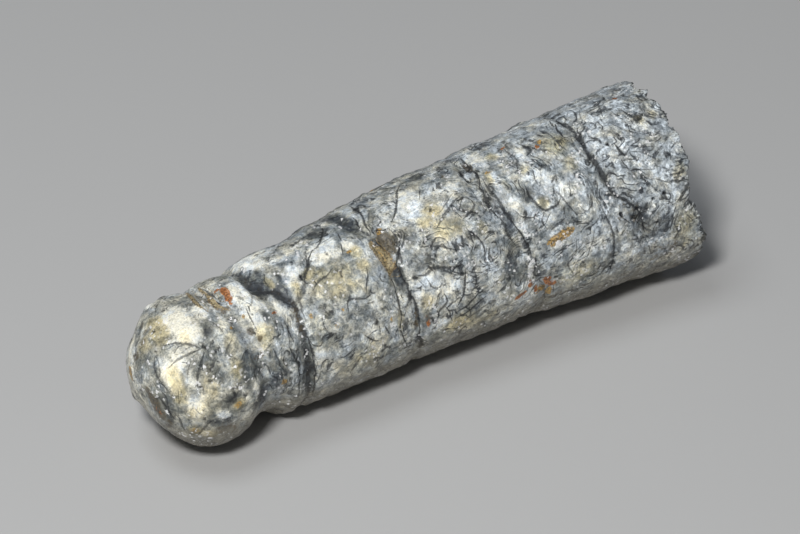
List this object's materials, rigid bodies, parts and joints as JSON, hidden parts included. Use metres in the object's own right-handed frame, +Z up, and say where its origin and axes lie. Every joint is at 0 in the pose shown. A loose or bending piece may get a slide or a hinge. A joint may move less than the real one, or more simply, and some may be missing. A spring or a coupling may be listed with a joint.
{
  "type": "orthoceras fossil",
  "caption": "Straight tapering fossil stone with chamber seams, rounded at its small end and broken across at its wide end, lying on its side.",
  "frame": {"origin": "middle of the underside: the bottom centre of the bounding box, on the surface that the stone lies on", "axes": "+X along the stone from its rounded small end to its broken wide end, +Z up, and the side that the axis bows towards is +Y"},
  "size_m": [0.0684, 0.0224, 0.0216],
  "materials": {
    "calcite": "worn, half glossy calcite, mottled white, grey and cream, with fine dark hair-like veins and rusty spots"
  },
  "bodies": {
    "root": {"fossil": "calcite"}
  },
  "joints": []
}
